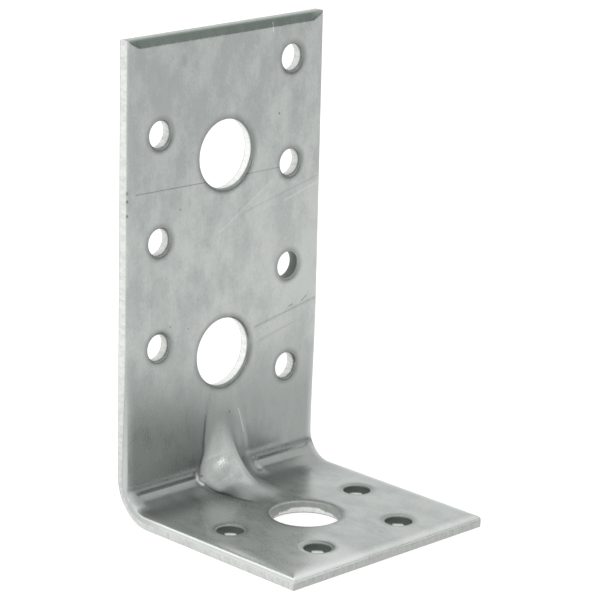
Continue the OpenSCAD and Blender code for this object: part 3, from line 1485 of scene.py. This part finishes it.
@dataclass(frozen=True)
class FloorFinish:
    """Plain pale floor, lit from below as a light table is, so that nothing casts a hard shadow."""

    name: str = "pale_floor"
    colour: Colour = (0.36, 0.36, 0.358)
    shaded: Colour = (0.3456, 0.3456, 0.34368)
    spots: float = 3.0
    rough: float = 0.7
    glow: float = 0.71

    def material(self) -> bpy.types.Material:
        """Builds the finish, with a trace of unevenness.

        Returns:
            The material.
        """
        material = bpy.data.materials.new(self.name)
        material.use_nodes = True
        desk = NodeDesk(material.node_tree)
        shader = material.node_tree.nodes["Principled BSDF"]
        place = desk.add("TexCoord").outputs["Object"]
        even = desk.remap(desk.noise(place, (self.spots,) * 3, 2.0), 0.3, 0.7, 0.97, 1.0)
        desk.feed(shader.inputs["Base Color"], desk.mix(even, self.shaded, self.colour))
        shader.inputs["Roughness"].default_value = self.rough
        shader.inputs["Specular IOR Level"].default_value = 0.0
        shader.inputs["Emission Color"].default_value = (1.0, 1.0, 1.0, 1.0)
        shader.inputs["Emission Strength"].default_value = self.glow
        return material


@dataclass(frozen=True)
class SoftBox:
    """One soft light: where it stands, what it faces, its sides and power, and whether metal mirrors it."""

    name: str
    place: Tuple[float, float, float]
    aim: Tuple[float, float, float]
    sides: Tuple[float, float]
    power: float
    mirrored: bool = True

    def build(self) -> bpy.types.Object:
        """Adds the light to the scene.

        Returns:
            The light's object.
        """
        light = bpy.data.lights.new(self.name, "AREA")
        light.shape = "RECTANGLE"
        light.size, light.size_y = self.sides
        light.energy = self.power
        lamp = bpy.data.objects.new(self.name, light)
        turn = (Vector(self.aim) - Vector(self.place)).to_track_quat("-Z", "Y").to_matrix().to_4x4()
        lamp.matrix_world = Matrix.Translation(self.place) @ turn
        lamp.visible_glossy = self.mirrored
        bpy.context.collection.objects.link(lamp)
        return lamp


@dataclass
class Studio:
    """Floor, lights and a white room, brightest overhead and dark near the horizon at the front right.

    The room's levels change over heights and sides that are parts of a unit direction.
    """

    floor_reach: float = 3.0
    tint: Colour = (0.985, 1.0, 0.995)
    level_dark: float = 0.2
    level_wall: float = 1.0
    level_top: float = 1.1
    dark_side: Tuple[float, float] = (0.4, 0.9)
    dark_heights: Tuple[float, float] = (0.05, 0.3)
    wall_heights: Tuple[float, float] = (0.3, 0.75)
    boxes: Tuple[SoftBox, ...] = (
        SoftBox("box_left", (-1.0, 0.2, 0.22), (0.0, 0.0, 0.05), (1.0, 0.4), 7.5, False),
        SoftBox("box_back", (-0.25, 0.85, 0.85), (0.0, 0.0, 0.03), (0.9, 0.7), 1.0),
        SoftBox("box_small", (-0.75, -0.5, 0.43), (0.0, 0.0, 0.01), (0.1, 0.1), 0.22),
        SoftBox("box_above", (0.1, 0.1, 1.5), (0.0, 0.0, 0.0), (1.6, 1.6), 2.5),
    )

    def build(self) -> None:
        """Makes the floor, the lights and the world."""
        reach = self.floor_reach
        mesh = bpy.data.meshes.new("floor")
        corners = [(-reach, -reach, 0), (reach, -reach, 0), (reach, reach, 0), (-reach, reach, 0)]
        mesh.from_pydata(corners, [], [(0, 1, 2, 3)])
        mesh.materials.append(FloorFinish().material())
        floor = bpy.data.objects.new("floor", mesh)
        bpy.context.collection.objects.link(floor)
        for box in self.boxes:
            box.build()
        self.room()
        view = bpy.context.scene.view_settings
        view.view_transform = "Standard"
        view.look = "None"

    def room(self) -> None:
        """Makes the world: its level depends on the height and, at the horizon, on the side looked to."""
        world = bpy.data.worlds.new("room")
        world.use_nodes = True
        desk = NodeDesk(world.node_tree)
        axes = desk.add("SeparateXYZ")
        desk.feed(axes.inputs[0], desk.add("TexCoord").outputs["Generated"])
        right, back, height = axes.outputs
        dark_side = desk.remap(desk.math("SUBTRACT", right, back), *self.dark_side, 0.0, 1.0)
        wall = desk.remap(height, *self.wall_heights, self.level_wall, self.level_top)
        dark = desk.remap(height, *self.dark_heights, self.level_dark, self.level_top)
        level = desk.total(wall, desk.product(dark_side, desk.math("SUBTRACT", dark, wall)))
        shader = world.node_tree.nodes["Background"]
        shader.inputs["Color"].default_value = (*self.tint, 1.0)
        desk.feed(shader.inputs["Strength"], level)
        bpy.context.scene.world = world


@dataclass(frozen=True)
class PhotoCamera:
    """Camera at the photograph's angle, found from the rims of the holes and the corners."""

    place: Tuple[float, float, float] = (-0.355178, -0.360185, 0.192227)
    right: Tuple[float, float, float] = (0.7176258, -0.6960473, 0.0230496)
    ahead: Tuple[float, float, float] = (0.6724217, 0.6838933, -0.2830885)
    focal_px: float = 2921.1
    image_px: float = 600.0
    sensor_mm: float = 36.0
    nearest: float = 0.01

    def build(self) -> None:
        """Adds the camera and makes it the scene's."""
        camera = bpy.data.cameras.new("photo_camera")
        camera.sensor_width = self.sensor_mm
        camera.lens = self.focal_px * self.sensor_mm / self.image_px
        camera.clip_start = self.nearest
        right, ahead = Vector(self.right), Vector(self.ahead)
        up = right.cross(ahead)
        holder = bpy.data.objects.new("photo_camera", camera)
        turn = Matrix((right, up, -ahead)).transposed().to_4x4()
        holder.matrix_world = Matrix.Translation(self.place) @ turn
        bpy.context.collection.objects.link(holder)
        bpy.context.scene.camera = holder


def main() -> None:
    """Builds the camera, the bracket and the studio in order, and logs the bracket's face count."""
    logging.basicConfig(level=logging.INFO, format="%(message)s")
    PhotoCamera().build()
    bracket = Bracket()
    piece = bracket.build()
    bracket.dress(piece, ZincFinish())
    LOG.info("%s: %d faces", piece.name, len(piece.data.polygons))
    Studio().build()


if __name__ == "__main__":
    main()
